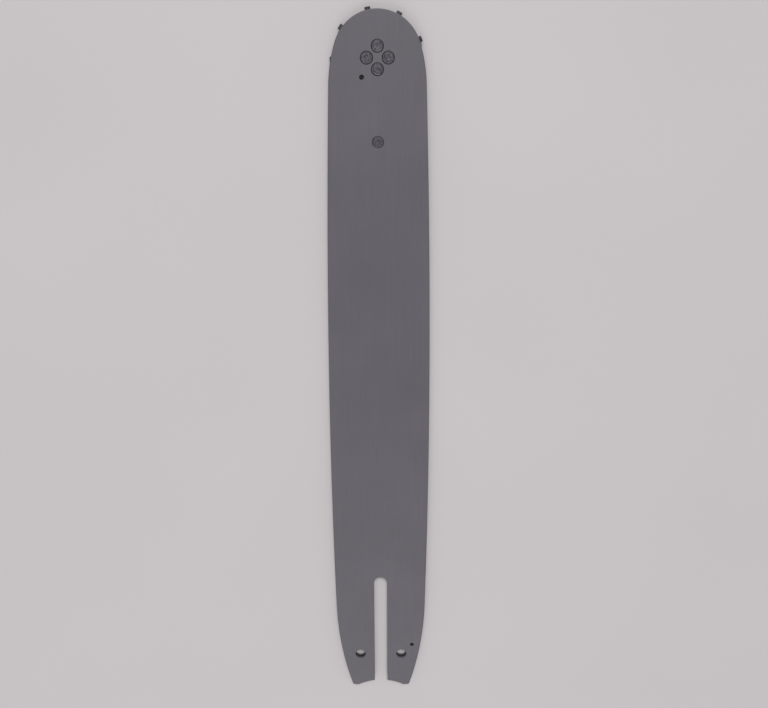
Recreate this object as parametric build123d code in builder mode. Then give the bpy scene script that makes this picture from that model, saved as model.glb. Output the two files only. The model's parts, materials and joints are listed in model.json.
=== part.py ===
from build123d import *
from math import acos, asin, atan2, cos, degrees, pi, radians, sin, sqrt, tan
import os

# Laminated chainsaw guide bar with a sprocket nose, lying flat.
# +X runs along the bar to the nose, +Z is the front face's normal and Z = 0 is the middle of the groove.
# The origin is on the stud slot's centre line, midway between the two tensioner holes. Sizes are in mm.

# Laminations
chain_gauge = 1.3
side_plate_thickness = 1.4
groove_depth = 6.5
rim_chamfer = 0.25

# Plan of the bar, with lengths measured from the tail end
bar_length = 400.6
nose_radius = 22.0
shoulder_radius = 70.0
# How far the long side would pass outside the nose circle, beside the sprocket's axis
shoulder_step = 1.8
# How much further out the side stands at its widest place than at the nose
side_bow = 4.5
widest_from_tail = 160.0
tail_taper_length = 60.0
tail_width = 36.0
tail_corner_radius = 1.5

# Mounting end
tensioner_from_tail = 24.25
tensioner_hole_diameter = 6.5
tensioner_hole_spacing = 26.0
slot_width = 8.2
slot_length = 81.5
slot_mouth_radius = 0.5
notch_radius = 30.0
notch_depth = 3.7
oil_hole_diameter = 2.5
oil_hole_from_tail = 31.2

# Rivets
rivet_shank_diameter = 5.5
rivet_sink_depth = 0.35
rivet_cone_angle = 90.0
rivet_clearance = 0.02
nose_rivet_count = 4
nose_rivet_spacing = 1.32
nose_rivet_proud = 0.25
body_rivet_recess = 0.15
body_rivet_from_axis = 39.7

# Nose sprocket
tooth_count = 9
tooth_lift = 1.4
tooth_tip_width = 3.0
tooth_tip_bevel = 0.4
gullet_depth = 6.4
tooth_turn = 11.9
sprocket_side_clearance = 0.075
pocket_clearance = 1.0

# Nose bearing
race_radius = 10.25
roller_diameter = 3.2
running_clearance = 0.02
roller_spacing = 0.05
roller_end_clearance = 0.05
grease_hole_diameter = 2.4
grease_hole_angle = 138.8

# Places and sizes that follow from the values above
groove_wall = chain_gauge / 2
face_height = groove_wall + side_plate_thickness
tail_x = -tensioner_from_tail
sprocket_x = tail_x + bar_length - nose_radius
rivet_shank_radius = rivet_shank_diameter / 2
rivet_cone_slope = tan(radians(rivet_cone_angle / 2))
rivet_head_radius = rivet_shank_radius + rivet_sink_depth * rivet_cone_slope
rivet_hole_radius = rivet_shank_radius + rivet_clearance
rivet_seat_radius = rivet_head_radius + rivet_clearance
nose_rivet_circle = (rivet_head_radius + nose_rivet_spacing / 2) / sin(pi / nose_rivet_count)
body_rivet_x = sprocket_x - body_rivet_from_axis
tip_radius = nose_radius + tooth_lift
root_radius = tip_radius - gullet_depth
sprocket_thickness = chain_gauge - 2 * sprocket_side_clearance
roller_length = chain_gauge - 2 * roller_end_clearance
track_radius = race_radius + running_clearance + roller_diameter / 2
bore_radius = track_radius + roller_diameter / 2 + running_clearance
roller_count = int(pi / asin((roller_diameter + roller_spacing) / 2 / track_radius))
sprocket_plane = Plane(origin=(sprocket_x, 0, 0))

# Side arc: crosses the nose's station shoulder_step outside the nose circle and bows out to the widest place
nose_centre = Vector(sprocket_x, 0)
half_width = nose_radius + shoulder_step + side_bow
widest_x = tail_x + widest_from_tail
side_radius = ((sprocket_x - widest_x) ** 2 + side_bow**2) / (2 * side_bow)
side_centre = Vector(widest_x, half_width - side_radius)

# Tail arc: leaves the side arc along its tangent and meets the tail end at half the tail's width
tail_joint = acos((tail_x + tail_taper_length - side_centre.X) / side_radius)
tail_normal = Vector(cos(tail_joint), sin(tail_joint))
taper_start = side_centre + tail_normal * side_radius
taper_chord = taper_start - Vector(tail_x, tail_width / 2)
tail_radius = taper_chord.length**2 / (2 * tail_normal.dot(taper_chord))
tail_centre = taper_start - tail_normal * tail_radius

# Shoulder arc: tangent inside the side arc and outside the nose arc, so the three centres make a triangle
to_side = side_centre - nose_centre
nose_leg = shoulder_radius - nose_radius
side_leg = side_radius - shoulder_radius
corner = acos((nose_leg**2 + to_side.length**2 - side_leg**2) / (2 * nose_leg * to_side.length))
shoulder_direction = atan2(to_side.Y, to_side.X) - corner
shoulder_centre = nose_centre + Vector(cos(shoulder_direction), sin(shoulder_direction)) * nose_leg
nose_joint = shoulder_direction + pi
to_shoulder = shoulder_centre - side_centre
side_joint = atan2(to_shoulder.Y, to_shoulder.X)

# Oil hole: against the groove's floor, so that oil comes out in the groove
oil_hole_x = tail_x + oil_hole_from_tail
oil_hole_reach = tail_radius - groove_depth + oil_hole_diameter / 2
oil_hole_y = -(tail_centre.Y + sqrt(oil_hole_reach**2 - (oil_hole_x - tail_centre.X) ** 2))

# Grease hole: over the rollers
grease_turn = radians(grease_hole_angle)
grease_hole_x = sprocket_x + track_radius * cos(grease_turn)
grease_hole_y = track_radius * sin(grease_turn)

os.makedirs("parts", exist_ok=True)


def bar_outline(inset):
    """Return the bar's plan, its rails moved inwards: tangent arcs about fixed centres, closed at the tail."""
    tail_turn = acos((tail_x - tail_centre.X) / (tail_radius - inset))
    arcs = [
        (tail_centre, tail_radius, tail_turn, tail_joint),
        (side_centre, side_radius, tail_joint, side_joint),
        (shoulder_centre, shoulder_radius, side_joint, nose_joint),
    ]
    with BuildSketch() as plan:
        with BuildLine() as rails:
            for centre, radius, start, end in arcs:
                CenterArc(centre, radius - inset, degrees(start), degrees(end - start))
            mirror(about=Plane.XZ)
            CenterArc(nose_centre, nose_radius - inset, degrees(nose_joint), -2 * degrees(nose_joint))
            Line(rails.vertices().group_by(Axis.X)[0])
        make_face()
    return plan.sketch


def rivet_section(head_edge):
    """Return half of a rivet's upper section: shank, cone and flat head, whose edge is given as points."""
    with BuildSketch() as section:
        with BuildLine():
            Polyline(
                (0, 0),
                (rivet_shank_radius, 0),
                (rivet_shank_radius, face_height - rivet_sink_depth),
                *head_edge,
                (0, head_edge[-1][1]),
                close=True,
            )
        make_face()
    return section.sketch


# Stud slot and the round tail notch that it opens into, with a rounded mouth, shared by the three plates
notch_x = tail_x + notch_depth - notch_radius
slot_end_x = tail_x + slot_length - slot_width / 2
with BuildSketch(Plane.XY.offset(-face_height)) as tail_opening:
    with Locations((notch_x, 0)):
        Circle(notch_radius)
    with Locations(((notch_x + slot_end_x) / 2, 0)):
        SlotCenterToCenter(slot_end_x - notch_x, slot_width)
    fillet(tail_opening.vertices().sort_by(Axis.X)[:2], slot_mouth_radius)

tensioner_holes = [(0, tensioner_hole_spacing / 2), (0, -tensioner_hole_spacing / 2)]

# Front side plate: the bevelled pressing with the rails, and its rivet seats sunk from the outer face
with BuildPart() as front_side_plate:
    with BuildSketch(Plane.XY.offset(groove_wall)) as plan:
        add(bar_outline(0))
        fillet(plan.vertices().group_by(Axis.X)[0], tail_corner_radius)
    extrude(amount=side_plate_thickness)
    chamfer(front_side_plate.faces().sort_by(Axis.Z)[-1].edges(), rim_chamfer)
    extrude(tail_opening.sketch, amount=2 * face_height, mode=Mode.SUBTRACT)
    with Locations(*tensioner_holes):
        Hole(tensioner_hole_diameter / 2)
    with Locations((oil_hole_x, oil_hole_y)):
        Hole(oil_hole_diameter / 2)
    with Locations((grease_hole_x, grease_hole_y)):
        Hole(grease_hole_diameter / 2)
    with Locations((body_rivet_x, 0, face_height)):
        CounterSinkHole(rivet_hole_radius, rivet_seat_radius, counter_sink_angle=rivet_cone_angle)
    with Locations((sprocket_x, 0, face_height)):
        with PolarLocations(nose_rivet_circle, nose_rivet_count):
            CounterSinkHole(rivet_hole_radius, rivet_seat_radius, counter_sink_angle=rivet_cone_angle)
front_side_plate.part.label = "front_side_plate"
export_step(front_side_plate.part, "parts/front_side_plate.step")

# Rear side plate: the same pressing turned over about the long axis, so its oil hole feeds the other rail
with BuildPart() as rear_side_plate:
    add(front_side_plate.part, rotation=(180, 0, 0))
rear_side_plate.part.label = "rear_side_plate"
export_step(rear_side_plate.part, "parts/rear_side_plate.step")

# Core plate: as thick as the chain gauge and set in from the rails, which leaves the chain groove open
with BuildPart() as core_plate:
    with BuildSketch(Plane.XY.offset(-groove_wall)):
        add(bar_outline(groove_depth))
        with Locations(nose_centre):
            Circle(tip_radius + pocket_clearance, mode=Mode.SUBTRACT)
    extrude(amount=chain_gauge)
    extrude(tail_opening.sketch, amount=2 * face_height, mode=Mode.SUBTRACT)
    with Locations(*tensioner_holes):
        Hole(tensioner_hole_diameter / 2)
    with Locations((body_rivet_x, 0)):
        Hole(rivet_hole_radius)
core_plate.part.label = "core_plate"
export_step(core_plate.part, "parts/core_plate.step")

# Nose sprocket: a disc with round gullets, each through the corners of its two tooth tips
gullet_half_angle = pi / tooth_count - asin(tooth_tip_width / 2 / tip_radius)
gullet_mouth = tip_radius * sin(gullet_half_angle)
gullet_rise = tip_radius * cos(gullet_half_angle) - root_radius
gullet_radius = (gullet_rise**2 + gullet_mouth**2) / (2 * gullet_rise)
gullet_turn = radians(tooth_turn) - pi / tooth_count
with BuildPart() as nose_sprocket:
    with BuildSketch(
        Plane(
            origin=(sprocket_x, 0, -sprocket_thickness / 2),
            x_dir=(cos(gullet_turn), sin(gullet_turn), 0),
        )
    ) as teeth:
        Circle(tip_radius)
        with PolarLocations(root_radius + gullet_radius, tooth_count):
            Circle(gullet_radius, mode=Mode.SUBTRACT)
        chamfer(teeth.vertices(), tooth_tip_bevel)
        Circle(bore_radius, mode=Mode.SUBTRACT)
    extrude(amount=sprocket_thickness)
nose_sprocket.part.label = "nose_sprocket"
export_step(nose_sprocket.part, "parts/nose_sprocket.step")

# Bearing race: the fixed disc that the nose rivets clamp between the side plates
with BuildPart() as bearing_race:
    with BuildSketch(sprocket_plane.offset(-groove_wall)):
        Circle(race_radius)
        with PolarLocations(nose_rivet_circle, nose_rivet_count):
            Circle(rivet_hole_radius, mode=Mode.SUBTRACT)
    extrude(amount=chain_gauge)
bearing_race.part.label = "bearing_race"
export_step(bearing_race.part, "parts/bearing_race.step")

# Bearing rollers: a full ring between the race and the sprocket's bore
for index in range(roller_count):
    roller_turn = 2 * pi * index / roller_count
    with BuildPart() as bearing_roller:
        with BuildSketch(sprocket_plane.offset(-roller_length / 2)):
            with Locations((track_radius * cos(roller_turn), track_radius * sin(roller_turn))):
                Circle(roller_diameter / 2)
        extrude(amount=roller_length)
    bearing_roller.part.label = f"bearing_roller_{index + 1:02d}"
    export_step(bearing_roller.part, f"parts/{bearing_roller.part.label}.step")

# Nose rivets: four alike, their heads a little proud of both faces
with BuildPart() as nose_rivet:
    with BuildSketch(Plane.XZ):
        add(
            rivet_section(
                [
                    (rivet_head_radius, face_height),
                    (rivet_head_radius - nose_rivet_proud, face_height + nose_rivet_proud),
                ]
            )
        )
    revolve(axis=Axis.Z)
    mirror(about=Plane.XY)
with BuildPart(sprocket_plane) as nose_rivets:
    with PolarLocations(nose_rivet_circle, nose_rivet_count):
        add(nose_rivet.part)
nose_rivets.part.label = "nose_rivets"
export_step(nose_rivets.part, "parts/nose_rivets.step")

# Body rivet: through the core, its heads a little below both faces
with BuildPart() as body_rivet:
    with BuildSketch(Plane.XZ.shift_origin((body_rivet_x, 0, 0))):
        recessed_radius = rivet_head_radius - body_rivet_recess * rivet_cone_slope
        add(rivet_section([(recessed_radius, face_height - body_rivet_recess)]))
    revolve(axis=Axis((body_rivet_x, 0, 0), (0, 0, 1)))
    mirror(about=Plane.XY)
body_rivet.part.label = "body_rivet"
export_step(body_rivet.part, "parts/body_rivet.step")
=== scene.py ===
import json
from math import acos, asin, atan2, ceil, cos, pi, radians, sin, sqrt, tan

import bmesh
import bpy
import numpy as np
from mathutils import Matrix, Vector
from mathutils.geometry import delaunay_2d_cdt


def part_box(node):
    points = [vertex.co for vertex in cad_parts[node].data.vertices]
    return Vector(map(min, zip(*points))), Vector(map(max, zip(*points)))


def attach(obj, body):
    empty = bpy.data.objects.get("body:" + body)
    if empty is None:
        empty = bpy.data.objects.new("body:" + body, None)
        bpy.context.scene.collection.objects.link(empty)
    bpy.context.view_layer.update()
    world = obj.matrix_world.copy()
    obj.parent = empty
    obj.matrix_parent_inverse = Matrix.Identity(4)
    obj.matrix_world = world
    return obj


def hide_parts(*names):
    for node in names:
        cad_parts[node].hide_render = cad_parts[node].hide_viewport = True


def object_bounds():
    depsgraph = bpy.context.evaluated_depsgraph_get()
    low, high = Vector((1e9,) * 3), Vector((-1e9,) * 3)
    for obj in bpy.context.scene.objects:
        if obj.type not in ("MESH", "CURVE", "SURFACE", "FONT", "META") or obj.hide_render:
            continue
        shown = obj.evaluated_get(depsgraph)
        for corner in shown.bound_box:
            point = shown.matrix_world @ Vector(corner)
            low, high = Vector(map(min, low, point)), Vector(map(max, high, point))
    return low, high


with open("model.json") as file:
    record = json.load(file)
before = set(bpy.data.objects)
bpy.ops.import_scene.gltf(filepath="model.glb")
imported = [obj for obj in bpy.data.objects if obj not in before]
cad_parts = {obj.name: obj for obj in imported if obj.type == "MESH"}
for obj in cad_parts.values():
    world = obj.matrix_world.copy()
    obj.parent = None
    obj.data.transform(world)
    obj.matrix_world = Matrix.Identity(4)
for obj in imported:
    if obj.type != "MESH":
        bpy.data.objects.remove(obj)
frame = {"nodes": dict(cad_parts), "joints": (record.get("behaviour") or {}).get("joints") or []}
cad_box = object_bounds()

# Laminated chainsaw guide bar with a sprocket nose, lying flat, front face up, nose towards +X.
# Sizes are in mm and become metres where a mesh, lamp or camera is made.
MM = 0.001
# How far a chord may stand off the arc that it follows
CHORD_SAG = 0.004

# Heights of the laminations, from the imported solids
face_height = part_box("front_side_plate")[1].z / MM
groove_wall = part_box("front_side_plate")[0].z / MM
floor_height = cad_box[0].z / MM

# Plan of the bar, from its tail end and the sprocket's axis
tail_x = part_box("front_side_plate")[0].x / MM
joint_places = {joint["name"]: joint["pos_m"] for joint in frame["joints"]}
sprocket_x = joint_places["sprocket_spin"][0] / MM
nose_radius = 22.0
shoulder_radius = 70.0
shoulder_step = 1.8
side_bow = 4.5
widest_x = tail_x + 160.0
taper_end_x = tail_x + 60.0
tail_half_width = 18.0
tail_corner_radius = 1.5

# Mounting end
slot_half_width = 4.1
slot_end_x = tail_x + 81.5 - slot_half_width
slot_mouth_radius = 0.5
notch_radius = 30.0
notch_x = tail_x + 3.7 - notch_radius
notch_lip_radius = 0.4
tensioner_hole_radius = 3.25
tensioner_hole_y = 13.0
oil_hole_radius = 1.25
oil_hole_place = (tail_x + 31.2, -19.64)
grease_hole_radius = 1.2
grease_hole_place = (sprocket_x - 8.93, 7.82)

# Edges: the rails are dressed round, the openings only have their burr taken off
rail_edge = 0.45
opening_edge = 0.16
inner_edge = 0.08
edge_steps = 6

# Rivets. Below its first painted_seat_rows rows, a nose rivet's seat is dark bare steel: painted shade that
# widens the dark ring round the head.
rivet_shank_radius = 2.75
rivet_sink_depth = 0.35
rivet_head_radius = rivet_shank_radius + rivet_sink_depth
rivet_clearance = 0.02
rivet_circle_radius = 5.32
rivet_seat_edge = 0.4
painted_seat_rows = 1
nose_rivet_proud = 0.25
nose_rivet_gap = 0.05
nose_rivet_edge = 0.3
body_rivet_recess = 0.15
body_rivet_edge = 0.08
body_rivet_place = (sprocket_x - 39.7, 0.0)
head_flat_radius = 0.1
head_steps = 30
head_edge_steps = 8
head_dish = 0.1
head_dish_reach = 1.7
tool_ring = 0.05
tool_ring_reach = 2.15
tool_ring_width = 0.2
quarter_turns = np.arange(4) * pi / 2
nose_rivet_places = [
    (sprocket_x + rivet_circle_radius * cos(turn), rivet_circle_radius * sin(turn))
    for turn in quarter_turns
]

# Nose sprocket
tooth_count = 9
tip_radius = 23.4
root_radius = 17.0
tooth_tip_width = 3.0
tooth_tip_rounding = 0.4
tooth_turn = radians(11.9)
sprocket_half_thickness = 0.575
sprocket_edge = 0.1
bore_radius = 13.49

# Camera, as the photo was taken: the focal length is in pixels of the frame's width, and the aim is the
# point of the bar's face that the camera's axis meets
frame_pixels = 768
focal_pixels = 740.0
sensor_width = 36.0
camera_tilt = radians(18.5)
camera_lean = radians(0.216)
camera_distance = 408.98
camera_aim = Vector((202.04, -2.67, face_height))
camera_near = 10.0
camera_far = 50000.0

# Stage: half the floor's side, the lamps with their kind, place, power and size, and the surroundings
floor_half_size = 12000.0
lamps = {
    "nose_side_window": ("SUN", (1000, -80, 890), 1.8, 16),
    "overhead_lamp": ("AREA", (600, 0, 650), 1.1, 500),
    "tail_side_lamp": ("AREA", (-900, 200, 1000), 5.5, 1100),
}
surroundings_colour = "#b6b2b3"

# Finishes of a side plate, a rivet and the sprocket, by their place in the list of that piece's materials
PAINT, RAIL, BARE_AND_SEAT_SHADE = 0, 1, 2
# The rivet's second finish is near-black. In the gap it is the dark seam. On a nose rivet's rounded head
# edge it is painted shade that draws a dark ring round the head.
HEAD, SEAM_AND_RIM_SHADE = 0, 1
TOOTH = 0


def arc(centre, radius, start, end, outside=1.0):
    """Points and outward normals of an arc: centre + radius (cos a, sin a), with a in equal steps.

    The steps go from start to end and keep each chord within CHORD_SAG of the arc. outside is 1 where the
    metal fills the circle and -1 where the circle is open."""
    step = 2 * acos(1 - CHORD_SAG / radius)
    count = max(3, ceil(abs(end - start) / step) + 1)
    angles = np.linspace(start, end, count)
    rays = np.stack([np.cos(angles), np.sin(angles)], axis=1)
    return np.array(centre) + radius * rays, outside * rays


def straight(start, end, normal):
    """Points and outward normals of a straight run, as its two ends."""
    return np.array([start, end], float), np.array([normal, normal], float)


def closed_loop(runs):
    """Join runs into one closed loop, leaving out the last point of each, which starts the next."""
    points = np.concatenate([run[0][:-1] for run in runs])
    normals = np.concatenate([run[1][:-1] for run in runs])
    return points, normals


def other_side(run):
    """The same run mirrored in the bar's long axis and walked backwards."""
    flip = np.array([1.0, -1.0])
    return run[0][::-1] * flip, run[1][::-1] * flip


def rail_runs():
    """Upper half of the outer edge, from the nose's tip to the tail end, as tangent arcs.

    The side arc passes shoulder_step outside the nose circle at the sprocket, and side_bow further out at
    its widest. The shoulder arc touches the nose arc and the side arc, so the three centres make a
    triangle. The tail arc leaves the side arc along its tangent and meets the tail end at half the tail's
    width."""
    nose_centre = np.array([sprocket_x, 0.0])
    half_width = nose_radius + shoulder_step + side_bow
    side_radius = ((sprocket_x - widest_x) ** 2 + side_bow**2) / (2 * side_bow)
    side_centre = np.array([widest_x, half_width - side_radius])
    to_side = side_centre - nose_centre
    span = sqrt(to_side @ to_side)
    nose_leg = shoulder_radius - nose_radius
    side_leg = side_radius - shoulder_radius
    corner = acos((nose_leg**2 + span**2 - side_leg**2) / (2 * nose_leg * span))
    direction = atan2(to_side[1], to_side[0]) - corner
    shoulder_centre = nose_centre + nose_leg * np.array([cos(direction), sin(direction)])
    nose_joint = direction + pi
    side_joint = atan2(*(shoulder_centre - side_centre)[::-1])
    tail_joint = acos((taper_end_x - widest_x) / side_radius)
    tail_normal = np.array([cos(tail_joint), sin(tail_joint)])
    taper_end = side_centre + side_radius * tail_normal
    chord = taper_end - np.array([tail_x, tail_half_width])
    tail_radius = (chord @ chord) / (2 * tail_normal @ chord)
    tail_centre = taper_end - tail_radius * tail_normal
    corner_x = tail_x + tail_corner_radius
    corner_reach = tail_radius - tail_corner_radius
    corner_y = tail_centre[1] + sqrt(corner_reach**2 - (corner_x - tail_centre[0]) ** 2)
    corner_joint = atan2(corner_y - tail_centre[1], corner_x - tail_centre[0])
    return [
        arc(nose_centre, nose_radius, 0, nose_joint),
        arc(shoulder_centre, shoulder_radius, nose_joint, side_joint),
        arc(side_centre, side_radius, side_joint, tail_joint),
        arc(tail_centre, tail_radius, tail_joint, corner_joint),
        arc((corner_x, corner_y), tail_corner_radius, corner_joint, pi),
    ]


def opening_runs(corner_y):
    """Upper half of the tail end, its round notch and the stud slot, from tail corner to slot end.

    A small arc rounds each corner. Its centre is its own radius from the straight, and notch_radius plus
    its own radius from the notch's centre."""
    lip_x = tail_x + notch_lip_radius
    lip_y = sqrt((notch_radius + notch_lip_radius) ** 2 - (lip_x - notch_x) ** 2)
    lip_joint = atan2(lip_y, lip_x - notch_x)
    mouth_y = slot_half_width + slot_mouth_radius
    mouth_x = notch_x + sqrt((notch_radius + slot_mouth_radius) ** 2 - mouth_y**2)
    mouth_joint = atan2(mouth_y, mouth_x - notch_x)
    return [
        straight((tail_x, corner_y), (tail_x, lip_y), (-1, 0)),
        arc((lip_x, lip_y), notch_lip_radius, pi, pi + lip_joint),
        arc((notch_x, 0), notch_radius, lip_joint, mouth_joint, outside=-1),
        arc((mouth_x, mouth_y), slot_mouth_radius, pi + mouth_joint, 1.5 * pi),
        straight((mouth_x, slot_half_width), (slot_end_x, slot_half_width), (0, -1)),
        arc((slot_end_x, 0), slot_half_width, pi / 2, 0, outside=-1),
    ]


def wall_grid(loop, insets, heights):
    """Carry a section round a loop: point - inset * normal in plan, at the section's height.

    insets and heights have a row for each point of the section and, where they change along the loop,
    a column for each point of the loop."""
    points, normals = loop
    insets = np.broadcast_to(insets, (len(insets), len(points)))
    heights = np.broadcast_to(heights, insets.shape)
    plan = points - insets[..., None] * normals
    return np.concatenate([plan, heights[..., None]], axis=2)


def rounded_section(top, bottom, top_edge, bottom_edge):
    """Section of a wall with two quarter-round edges, from the top face down to the bottom face.

    On a quarter round of radius r the inset is r (1 - sin a) and the depth below its face r (1 - cos a)."""
    angles = np.linspace(0, pi / 2, edge_steps)[:, None]
    top_inset = top_edge * (1 - np.sin(angles))
    bottom_inset = bottom_edge * (1 - np.sin(angles[::-1]))
    top_height = top - top_edge * (1 - np.cos(angles))
    bottom_height = bottom + bottom_edge * (1 - np.cos(angles[::-1]))
    width = max(top_inset.shape[1], bottom_inset.shape[1])
    insets = [np.broadcast_to(part, (edge_steps, width)) for part in (top_inset, bottom_inset)]
    heights = [np.broadcast_to(part, (edge_steps, width)) for part in (top_height, bottom_height)]
    return np.concatenate(insets), np.concatenate(heights)


def seat_section():
    """Section of a rivet seat: a rounded edge, a 45 degree cone and the straight hole.

    The edge turns by 45 degrees with radius rivet_seat_edge and touches the face and the cone."""
    angles = np.linspace(0, pi / 4, edge_steps)
    sink = rivet_sink_depth
    insets = sink + rivet_seat_edge * (tan(pi / 8) - np.sin(angles))
    heights = face_height - rivet_seat_edge * (1 - np.cos(angles))
    insets = np.concatenate([insets, [0.0, 0.0]])
    heights = np.concatenate([heights, [face_height - sink, groove_wall]])
    return insets[:, None], heights[:, None]


def flat_face(vertices, rings):
    """Triangles of a flat face: the Delaunay triangles inside its rings that keep every ring's edges.

    The first ring is the outside and the others are round holes, so a triangle with all three corners on
    one of those lies in the hole and is left out."""
    numbers = np.concatenate(rings)
    ring_of = np.repeat(np.arange(len(rings)), [len(ring) for ring in rings])
    order = np.arange(len(numbers))
    after = np.concatenate([np.roll(order[ring_of == ring], -1) for ring in range(len(rings))])
    places = [Vector(place) for place in vertices[numbers, :2].tolist()]
    edges = np.stack([order, after], axis=1).tolist()
    inside_only = 1
    merge_distance = 1e-7
    _, _, faces, origins, _, _ = delaunay_2d_cdt(places, edges, [], inside_only, merge_distance)
    sources = np.array([origin[0] for origin in origins])
    triangles = sources[np.array(faces)]
    corners = ring_of[triangles]
    in_hole = (corners[:, 0] > 0) & (corners == corners[:, :1]).all(axis=1)
    return numbers[triangles[~in_hole]]


def shell(grids, flats):
    """Vertices, faces and finishes of a closed body: walls that follow grids, and two flat faces.

    Each grid is (points, finish by quad). The first and the last rows of all grids bound the two flat
    faces, whose finishes are given by flats."""
    vertices = np.concatenate([points.reshape(-1, 3) for points, _ in grids])
    quads = []
    finishes = []
    rings = ([], [])
    start = 0
    for points, finish in grids:
        rows, count = points.shape[:2]
        index = start + np.arange(rows * count).reshape(rows, count)
        after = np.roll(index, -1, axis=1)
        quads.append(np.stack([index[:-1], index[1:], after[1:], after[:-1]], axis=2).reshape(-1, 4))
        finishes.append(np.broadcast_to(finish, (rows - 1, count)).reshape(-1))
        rings[0].append(index[0])
        rings[1].append(index[-1])
        start += rows * count
    quads = np.concatenate(quads)
    finishes = np.concatenate(finishes)
    ends = []
    for ring, finish in zip(rings, flats):
        ends.append((flat_face(vertices, ring), finish))
    return vertices, quads, finishes, ends


def make_piece(name, bodies, materials, body, node):
    """Make one object from closed bodies, let it ride on a CAD body and stand for a CAD node."""
    vertices = np.concatenate([one[0] for one in bodies])
    faces = []
    finishes = []
    rounded = []
    start = 0
    for points, quads, quad_finishes, flats in bodies:
        faces += (quads + start).tolist()
        finishes += quad_finishes.tolist()
        rounded += [True] * len(quads)
        for triangles, finish in flats:
            faces += (triangles + start).tolist()
            finishes += [int(finish)] * len(triangles)
            rounded += [False] * len(triangles)
        start += len(points)
    mesh = bpy.data.meshes.new(name)
    mesh.from_pydata((vertices * MM).tolist(), [], faces)
    mesh.polygons.foreach_set("material_index", finishes)
    mesh.polygons.foreach_set("use_smooth", rounded)
    cleaned = bmesh.new()
    cleaned.from_mesh(mesh)
    bmesh.ops.recalc_face_normals(cleaned, faces=cleaned.faces)
    cleaned.to_mesh(mesh)
    cleaned.free()
    for material in materials:
        mesh.materials.append(material)
    piece = bpy.data.objects.new(name, mesh)
    bpy.context.scene.collection.objects.link(piece)
    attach(piece, body)
    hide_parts(node)


def side_plate_body():
    """Front side plate: the rim and slot in one loop, four plain holes and five rivet seats."""
    rails = rail_runs()
    corner_y = rails[-1][0][-1][1]
    openings = opening_runs(corner_y)
    upper = rails + openings
    runs = upper + [other_side(run) for run in reversed(upper)]
    rail_flags = [True] * len(rails) + [False] * len(openings)
    rail_flags = rail_flags + rail_flags[::-1]
    is_rail = np.concatenate([np.full(len(run[0]) - 1, flag) for run, flag in zip(runs, rail_flags)])
    loop = closed_loop(runs)
    edges = np.where(is_rail, rail_edge, opening_edge)
    insets, heights = rounded_section(face_height, groove_wall, edges, inner_edge)
    finish = np.full((len(insets) - 1, len(is_rail)), PAINT)
    finish[edge_steps - 1 :, is_rail] = RAIL
    finish[-1] = BARE_AND_SEAT_SHADE
    grids = [(wall_grid(loop, insets, heights), finish)]
    holes = [
        ((0.0, tensioner_hole_y), tensioner_hole_radius),
        ((0.0, -tensioner_hole_y), tensioner_hole_radius),
        (oil_hole_place, oil_hole_radius),
        (grease_hole_place, grease_hole_radius),
    ]
    hole_section = rounded_section(face_height, groove_wall, opening_edge, inner_edge)
    hole_finish = np.full((len(hole_section[0]) - 1, 1), PAINT)
    hole_finish[-1] = BARE_AND_SEAT_SHADE
    for place, radius in holes:
        hole = closed_loop([arc(place, radius, 0, 2 * pi, outside=-1)])
        grids.append((wall_grid(hole, *hole_section), hole_finish))
    seat = seat_section()
    # Below its painted rows, a nose rivet's seat takes the dark bare finish, painted shade that widens the
    # ring round the head. The body rivet's rounded seat edge stays painted.
    painted_rows = [painted_seat_rows] * len(nose_rivet_places) + [edge_steps - 1]
    for place, painted in zip(nose_rivet_places + [body_rivet_place], painted_rows):
        seat_finish = np.full((len(seat[0]) - 1, 1), BARE_AND_SEAT_SHADE)
        seat_finish[:painted] = PAINT
        hole = closed_loop([arc(place, rivet_shank_radius + rivet_clearance, 0, 2 * pi, outside=-1)])
        grids.append((wall_grid(hole, *seat), seat_finish))
    return shell(grids, (PAINT, BARE_AND_SEAT_SHADE))


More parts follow.
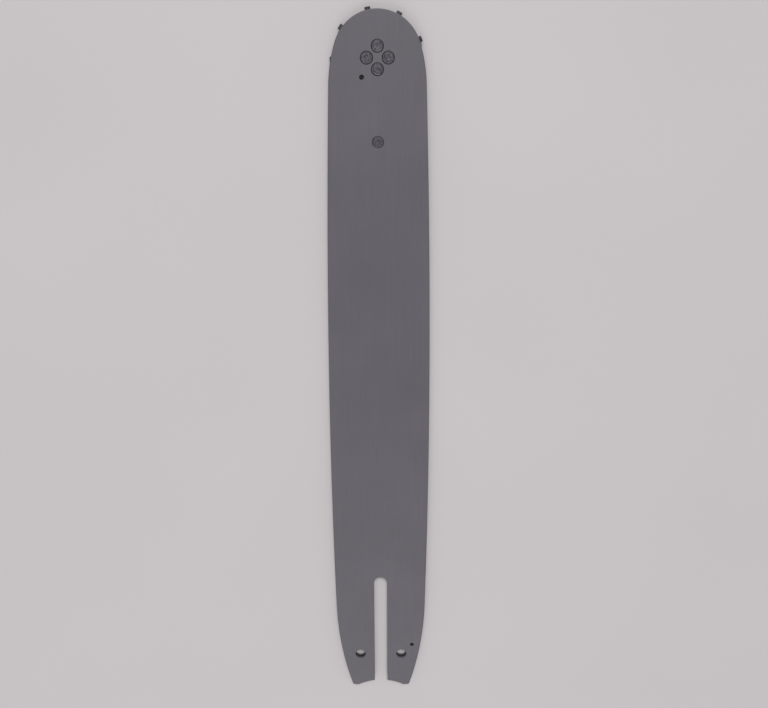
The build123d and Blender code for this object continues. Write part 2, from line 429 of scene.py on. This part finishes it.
def sprocket_body():
    """Nose sprocket: tooth tips and round gullets in one loop, and the bore.

    A gullet's circle goes through the corners of its two tips and down to the root circle. An arc rounds
    each tip corner. Its centre is tip_radius less its own radius from the axis, and the gullet's radius
    plus its own from the gullet's centre."""
    gullet_half = pi / tooth_count - asin(tooth_tip_width / 2 / tip_radius)
    gullet_mouth = tip_radius * sin(gullet_half)
    gullet_rise = tip_radius * cos(gullet_half) - root_radius
    gullet_radius = (gullet_rise**2 + gullet_mouth**2) / (2 * gullet_rise)
    gullet_reach = root_radius + gullet_radius
    tip_leg = tip_radius - tooth_tip_rounding
    gullet_leg = gullet_radius + tooth_tip_rounding
    corner_turn = acos((gullet_reach**2 + tip_leg**2 - gullet_leg**2) / (2 * gullet_reach * tip_leg))
    corner_rise = tip_leg * sin(corner_turn)
    corner_back = gullet_reach - tip_leg * cos(corner_turn)
    gullet_end = atan2(corner_rise, corner_back)
    axis = np.array([sprocket_x, 0.0])
    runs = []
    for tooth in range(tooth_count):
        gullet_turn = tooth_turn + (2 * tooth + 1) * pi / tooth_count
        tip_turn = gullet_turn - pi / tooth_count
        tip_half = pi / tooth_count - corner_turn
        gullet_centre = axis + gullet_reach * np.array([cos(gullet_turn), sin(gullet_turn)])
        before = tip_turn + tip_half
        after = gullet_turn + corner_turn
        corners = [axis + tip_leg * np.array([cos(turn), sin(turn)]) for turn in (before, after)]
        inward = gullet_turn + pi
        runs += [
            arc(axis, tip_radius, tip_turn - tip_half, before),
            arc(corners[0], tooth_tip_rounding, before, gullet_turn + gullet_end),
            arc(gullet_centre, gullet_radius, inward + gullet_end, inward - gullet_end, outside=-1),
            arc(corners[1], tooth_tip_rounding, gullet_turn - gullet_end, after),
        ]
    top = sprocket_half_thickness
    section = rounded_section(top, -top, sprocket_edge, sprocket_edge)
    bore = arc(axis, bore_radius, 0, 2 * pi, outside=-1)
    loops = [closed_loop(runs), closed_loop([bore])]
    grids = [(wall_grid(loop, *section), [[TOOTH]]) for loop in loops]
    return shell(grids, (TOOTH, TOOTH))


def rivet_body(place, top, edge_radius, edge_reach, edge_turn, edge_finish):
    """Rivet, as a section turned round its own axis: head, rounded edge, cone and shank, then mirrored.

    The head is dished by head_dish (1 - (r / head_dish_reach)^2)^2 inside head_dish_reach, and the forming
    tool leaves a shallow ring, tool_ring exp(-((r - tool_ring_reach) / tool_ring_width)^2). The edge arc
    starts at radius edge_reach and turns by edge_turn."""
    crown_radius = np.linspace(head_flat_radius, edge_reach, head_steps)
    hollow = head_dish * np.clip(1 - (crown_radius / head_dish_reach) ** 2, 0, None) ** 2
    hollow += tool_ring * np.exp(-(((crown_radius - tool_ring_reach) / tool_ring_width) ** 2))
    angles = np.linspace(0, edge_turn, head_edge_steps)[1:]
    edge = edge_reach + edge_radius * np.sin(angles)
    edge_height = top - edge_radius * (1 - np.cos(angles))
    reach = np.concatenate([crown_radius, edge, [rivet_shank_radius]])
    heights = np.concatenate([top - hollow, edge_height, [face_height - rivet_sink_depth]])
    reach = np.concatenate([reach, reach[::-1]])
    heights = np.concatenate([heights, -heights[::-1]])
    circle = closed_loop([arc(place, rivet_head_radius, 0, 2 * pi)])
    # Rows of the rounded edge take edge_finish. For the nose rivets that is the near-black seam finish,
    # painted shade round the head.
    finish = [HEAD] * (len(crown_radius) - 1) + [edge_finish] * len(edge) + [SEAM_AND_RIM_SHADE]
    finish = np.array(finish + [SEAM_AND_RIM_SHADE] + finish[::-1])
    grid = wall_grid(circle, (rivet_head_radius - reach)[:, None], heights[:, None])
    return shell([(grid, finish[:, None])], (HEAD, HEAD))


def to_linear(colour):
    """Linear red, green, blue and alpha of an sRGB hex colour.

    A channel c becomes c / 12.92 up to 0.04045, and ((c + 0.055) / 1.055) ^ 2.4 above that."""
    channels = np.array([int(colour[i : i + 2], 16) for i in (1, 3, 5)]) / 255
    linear = np.where(channels <= 0.04045, channels / 12.92, ((channels + 0.055) / 1.055) ** 2.4)
    return (*linear.tolist(), 1.0)


def per_metre(size):
    """Texture scale for a pattern whose features are size mm across."""
    return 1 / (size * MM)


def add_node(tree, kind, settings, inputs):
    """Add a node, set its own settings, and give each input socket a value or a link from an output."""
    node = tree.nodes.new(kind)
    for name, value in settings.items():
        setattr(node, name, value)
    for name, value in inputs.items():
        if isinstance(value, bpy.types.NodeSocket):
            tree.links.new(value, node.inputs[name])
        else:
            node.inputs[name].default_value = value
    return node


def new_material(name):
    """An empty node material, its tree and its Object coordinates."""
    material = bpy.data.materials.new(name)
    material.use_nodes = True
    tree = material.node_tree
    tree.nodes.clear()
    place = add_node(tree, "ShaderNodeTexCoord", {}, {}).outputs["Object"]
    return material, tree, place


def finish_material(tree, inputs):
    """Add the shader with the given inputs and the material's output."""
    shader = add_node(tree, "ShaderNodeBsdfPrincipled", {}, inputs)
    add_node(tree, "ShaderNodeOutputMaterial", {}, {"Surface": shader.outputs["BSDF"]})


def grey_stoved_paint():
    """Stoved grey enamel on rolled steel: satin and even, with a slow drift of tone and a fine orange peel.

    Faint marks of the rolling run along the bar, drawn out along X."""
    drift_size = 38
    mark_width = 0.9
    mark_stretch = (0.03, 1, 1)
    peel_size = 1.4
    peel_height = 0.02
    material, tree, place = new_material("grey_stoved_paint")
    drift = add_node(
        tree,
        "ShaderNodeTexNoise",
        {},
        {"Vector": place, "Scale": per_metre(drift_size), "Detail": 3},
    )
    rolled = add_node(tree, "ShaderNodeMapping", {}, {"Vector": place, "Scale": mark_stretch})
    marks = add_node(
        tree,
        "ShaderNodeTexNoise",
        {},
        {"Vector": rolled.outputs["Vector"], "Scale": per_metre(mark_width), "Detail": 3},
    )
    shade = add_node(
        tree,
        "ShaderNodeMix",
        {"data_type": "FLOAT"},
        {"Factor": 0.4, "A": drift.outputs["Fac"], "B": marks.outputs["Fac"]},
    )
    tone = add_node(
        tree,
        "ShaderNodeMix",
        {"data_type": "RGBA"},
        {"Factor": shade.outputs["Result"], "A": to_linear("#47474d"), "B": to_linear("#5c5a61")},
    )
    peel = add_node(
        tree,
        "ShaderNodeTexNoise",
        {},
        {"Vector": place, "Scale": per_metre(peel_size), "Detail": 2},
    )
    gloss = add_node(
        tree,
        "ShaderNodeMapRange",
        {},
        {"Value": peel.outputs["Fac"], "From Min": 0.3, "From Max": 0.7, "To Min": 0.47, "To Max": 0.57},
    )
    bump = add_node(
        tree,
        "ShaderNodeBump",
        {},
        {"Height": peel.outputs["Fac"], "Strength": 0.5, "Distance": peel_height * MM},
    )
    finish_material(
        tree,
        {
            "Base Color": tone.outputs["Result"],
            "Roughness": gloss.outputs["Result"],
            "Normal": bump.outputs["Normal"],
        },
    )
    return material


def ground_rail_steel():
    """Rail edge, hardened and ground along the bar: bare steel with fine lines that run with the rail.

    The lines are drawn coarser than real grit leaves them, so that they show."""
    line_width = 0.12
    line_stretch = (0.03, 0.03, 1.0)
    line_depth = 0.01
    material, tree, place = new_material("ground_rail_steel")
    lines = add_node(tree, "ShaderNodeMapping", {}, {"Vector": place, "Scale": line_stretch})
    grit = add_node(
        tree,
        "ShaderNodeTexNoise",
        {},
        {"Vector": lines.outputs["Vector"], "Scale": per_metre(line_width), "Detail": 2},
    )
    tone = add_node(
        tree,
        "ShaderNodeMix",
        {"data_type": "RGBA"},
        {"Factor": grit.outputs["Fac"], "A": to_linear("#6c6c6f"), "B": to_linear("#8e8e91")},
    )
    gloss = add_node(
        tree,
        "ShaderNodeMapRange",
        {},
        {"Value": grit.outputs["Fac"], "To Min": 0.28, "To Max": 0.5},
    )
    bump = add_node(
        tree,
        "ShaderNodeBump",
        {},
        {"Height": grit.outputs["Fac"], "Strength": 0.4, "Distance": line_depth * MM},
    )
    finish_material(
        tree,
        {
            "Base Color": tone.outputs["Result"],
            "Metallic": 1.0,
            "Roughness": gloss.outputs["Result"],
            "Normal": bump.outputs["Normal"],
        },
    )
    return material


def dark_steel(name, low, high, size, metallic, rough):
    """Unpainted steel with a dark skin: two close tones in patches size mm across, and a fine tooth."""
    tooth_height = 0.02
    rough_spread = 0.08
    material, tree, place = new_material(name)
    patches = add_node(
        tree,
        "ShaderNodeTexNoise",
        {},
        {"Vector": place, "Scale": per_metre(size), "Detail": 4},
    )
    spread = add_node(
        tree,
        "ShaderNodeMapRange",
        {},
        {"Value": patches.outputs["Fac"], "From Min": 0.32, "From Max": 0.68},
    )
    tone = add_node(
        tree,
        "ShaderNodeMix",
        {"data_type": "RGBA"},
        {"Factor": spread.outputs["Result"], "A": to_linear(low), "B": to_linear(high)},
    )
    gloss = add_node(
        tree,
        "ShaderNodeMapRange",
        {},
        {"Value": patches.outputs["Fac"], "To Min": rough - rough_spread, "To Max": rough + rough_spread},
    )
    bump = add_node(
        tree,
        "ShaderNodeBump",
        {},
        {"Height": patches.outputs["Fac"], "Strength": 0.4, "Distance": tooth_height * MM},
    )
    finish_material(
        tree,
        {
            "Base Color": tone.outputs["Result"],
            "Metallic": metallic,
            "Roughness": gloss.outputs["Result"],
            "Normal": bump.outputs["Normal"],
        },
    )
    return material


def pale_floor():
    """Matt pale board, with a tone that hardly changes over a hand's width."""
    drift_size = 120
    material, tree, place = new_material("pale_matt_board")
    drift = add_node(
        tree,
        "ShaderNodeTexNoise",
        {},
        {"Vector": place, "Scale": per_metre(drift_size), "Detail": 1},
    )
    tone = add_node(
        tree,
        "ShaderNodeMix",
        {"data_type": "RGBA"},
        {"Factor": drift.outputs["Fac"], "A": to_linear("#b8b6b7"), "B": to_linear("#bcb9ba")},
    )
    finish_material(
        tree,
        {"Base Color": tone.outputs["Result"], "Roughness": 0.9, "Specular IOR Level": 0.1},
    )
    return material


def add_floor():
    """Flat square under the bar, at the lowest point of its solids."""
    corners = np.array([[-1, -1], [1, -1], [1, 1], [-1, 1]]) * floor_half_size
    points = np.column_stack([corners, np.full(4, floor_height)]) * MM
    mesh = bpy.data.meshes.new("floor")
    mesh.from_pydata(points.tolist(), [], [(0, 1, 2, 3)])
    mesh.materials.append(pale_floor())
    floor = bpy.data.objects.new("floor", mesh)
    bpy.context.scene.collection.objects.link(floor)


def add_lamp(name, kind, place, power, size):
    """Soft lamp at a place in mm, turned towards the middle of the bar.

    An AREA lamp is a square of size mm that gives power watts. A SUN lamp is a far window that gives power
    watts a square metre and fills size degrees of the sky."""
    lamp = bpy.data.lights.new(name, kind)
    lamp.energy = power
    if kind == "SUN":
        lamp.angle = radians(size)
    else:
        lamp.size = size * MM
    holder = bpy.data.objects.new(name, lamp)
    bpy.context.scene.collection.objects.link(holder)
    holder.location = Vector(place) * MM
    aim = Vector((camera_aim.x, 0, 0)) * MM - holder.location
    holder.rotation_mode = "QUATERNION"
    holder.rotation_quaternion = aim.to_track_quat("-Z", "Y")


def add_world(colour):
    """Even pale surroundings, the same for every ray, so that they light the bar as they are seen."""
    world = bpy.data.worlds.new("pale_surroundings")
    world.use_nodes = True
    tree = world.node_tree
    tree.nodes.clear()
    light = add_node(tree, "ShaderNodeBackground", {}, {"Color": to_linear(colour), "Strength": 1.0})
    add_node(tree, "ShaderNodeOutputWorld", {}, {"Surface": light.outputs["Background"]})
    bpy.context.scene.world = world


def add_camera():
    """Camera above the bar, its axis tilted towards the tail and turned a little in the frame."""
    along = Vector((cos(camera_lean), -sin(camera_lean), 0))
    upright = Vector((0, 0, 1))
    back = along * sin(camera_tilt) + upright * cos(camera_tilt)
    up = along * cos(camera_tilt) - upright * sin(camera_tilt)
    right = up.cross(back)
    lens = bpy.data.cameras.new("camera")
    lens.sensor_width = sensor_width
    lens.lens = focal_pixels / frame_pixels * sensor_width
    lens.clip_start = camera_near * MM
    lens.clip_end = camera_far * MM
    camera = bpy.data.objects.new("camera", lens)
    bpy.context.scene.collection.objects.link(camera)
    turn = Matrix((right, up, back)).transposed()
    place = (camera_aim + back * camera_distance) * MM
    camera.matrix_world = Matrix.Translation(place) @ turn.to_4x4()
    bpy.context.scene.camera = camera


paint = grey_stoved_paint()
rail_steel = ground_rail_steel()
bare_steel = dark_steel("oiled_mill_steel", "#252427", "#3a383b", size=2.5, metallic=0.6, rough=0.5)
tooth_steel = dark_steel(
    "blacked_hardened_steel", "#2a272a", "#454146", size=1.8, metallic=0.7, rough=0.4
)
greased_steel_and_rim_shade = dark_steel(
    "greased_bearing_steel", "#141212", "#232020", size=0.6, metallic=0.4, rough=0.35
)
rivet_steel = dark_steel("peened_rivet_steel", "#2f2d32", "#595661", size=0.9, metallic=0.5, rough=0.45)

plate_materials = [paint, rail_steel, bare_steel]
front_plate = side_plate_body()
turned_over = (front_plate[0] * np.array([1, -1, -1]), *front_plate[1:])
make_piece("front_plate", [front_plate], plate_materials, "bar", "front_side_plate")
make_piece("rear_plate", [turned_over], plate_materials, "bar", "rear_side_plate")
make_piece("toothed_wheel", [sprocket_body()], [tooth_steel], "sprocket", "nose_sprocket")

# The rivets' second material is near-black greased steel. Where it covers a nose rivet's rounded head edge,
# it is painted shade.
rivet_materials = [rivet_steel, greased_steel_and_rim_shade]
nose_rivet_shape = {
    "top": face_height + nose_rivet_proud,
    "edge_radius": nose_rivet_edge,
    "edge_reach": rivet_head_radius - nose_rivet_gap - nose_rivet_edge,
    "edge_turn": pi / 2,
    "edge_finish": SEAM_AND_RIM_SHADE,
}
nose_rivet_bodies = [rivet_body(place, **nose_rivet_shape) for place in nose_rivet_places]
make_piece("nose_rivet_set", nose_rivet_bodies, rivet_materials, "bar", "nose_rivets")
body_rivet_top = face_height - body_rivet_recess
body_rivet_shape = {
    "top": body_rivet_top,
    "edge_radius": body_rivet_edge,
    "edge_reach": body_rivet_top - face_height + rivet_head_radius - body_rivet_edge * (1 + sqrt(2)),
    "edge_turn": 0.75 * pi,
    "edge_finish": HEAD,
}
body_rivet_body = rivet_body(body_rivet_place, **body_rivet_shape)
make_piece("body_rivet_piece", [body_rivet_body], rivet_materials, "bar", "body_rivet")

for node_name, node in frame["nodes"].items():
    if node.hide_render:
        continue
    material = bare_steel if node_name == "core_plate" else greased_steel_and_rim_shade
    for material_slot in node.material_slots:
        material_slot.material = material

add_floor()
for lamp_name, lamp_settings in lamps.items():
    add_lamp(lamp_name, *lamp_settings)
add_world(surroundings_colour)
add_camera()
bpy.context.scene.view_settings.view_transform = "Standard"
